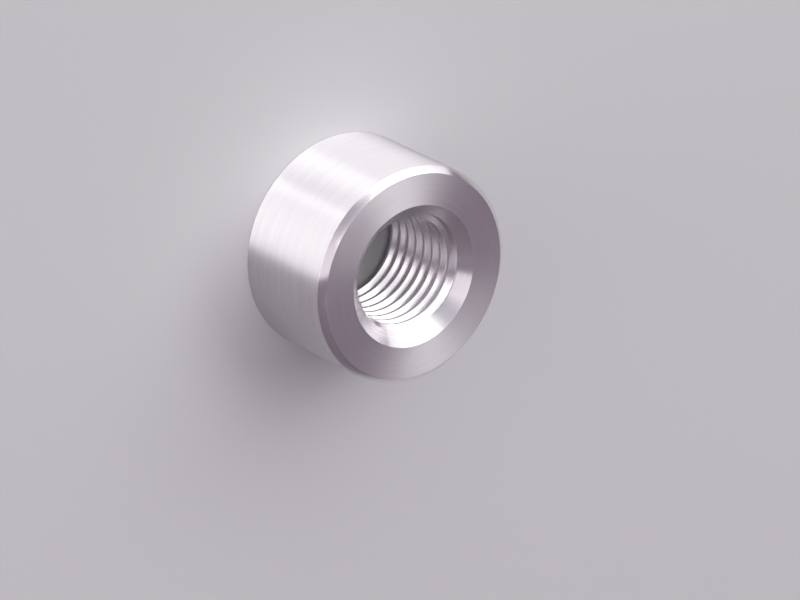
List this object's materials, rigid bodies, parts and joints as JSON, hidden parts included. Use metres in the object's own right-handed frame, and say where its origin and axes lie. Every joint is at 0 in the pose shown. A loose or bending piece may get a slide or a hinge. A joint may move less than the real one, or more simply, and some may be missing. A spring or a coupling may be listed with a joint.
{
  "type": "threaded weld-in boss",
  "caption": "Short aluminium bush with a right-hand metric thread through it, a deep countersink and a chamfered rim at the front, for welding or fixing into a wall.",
  "frame": {"origin": "centre of the rear face, on the thread's axis; the part stands on that face", "axes": "+Z along the thread's axis, out of the front face with the deep countersink and the chamfered rim; +X and +Y are any two square directions, since the turned form is round"},
  "size_m": [0.025, 0.025, 0.014],
  "materials": {
    "turned_aluminium": "bright as-turned aluminium with fine circumferential tool lines"
  },
  "bodies": {
    "root": {"threaded_boss": "turned_aluminium"}
  },
  "joints": []
}
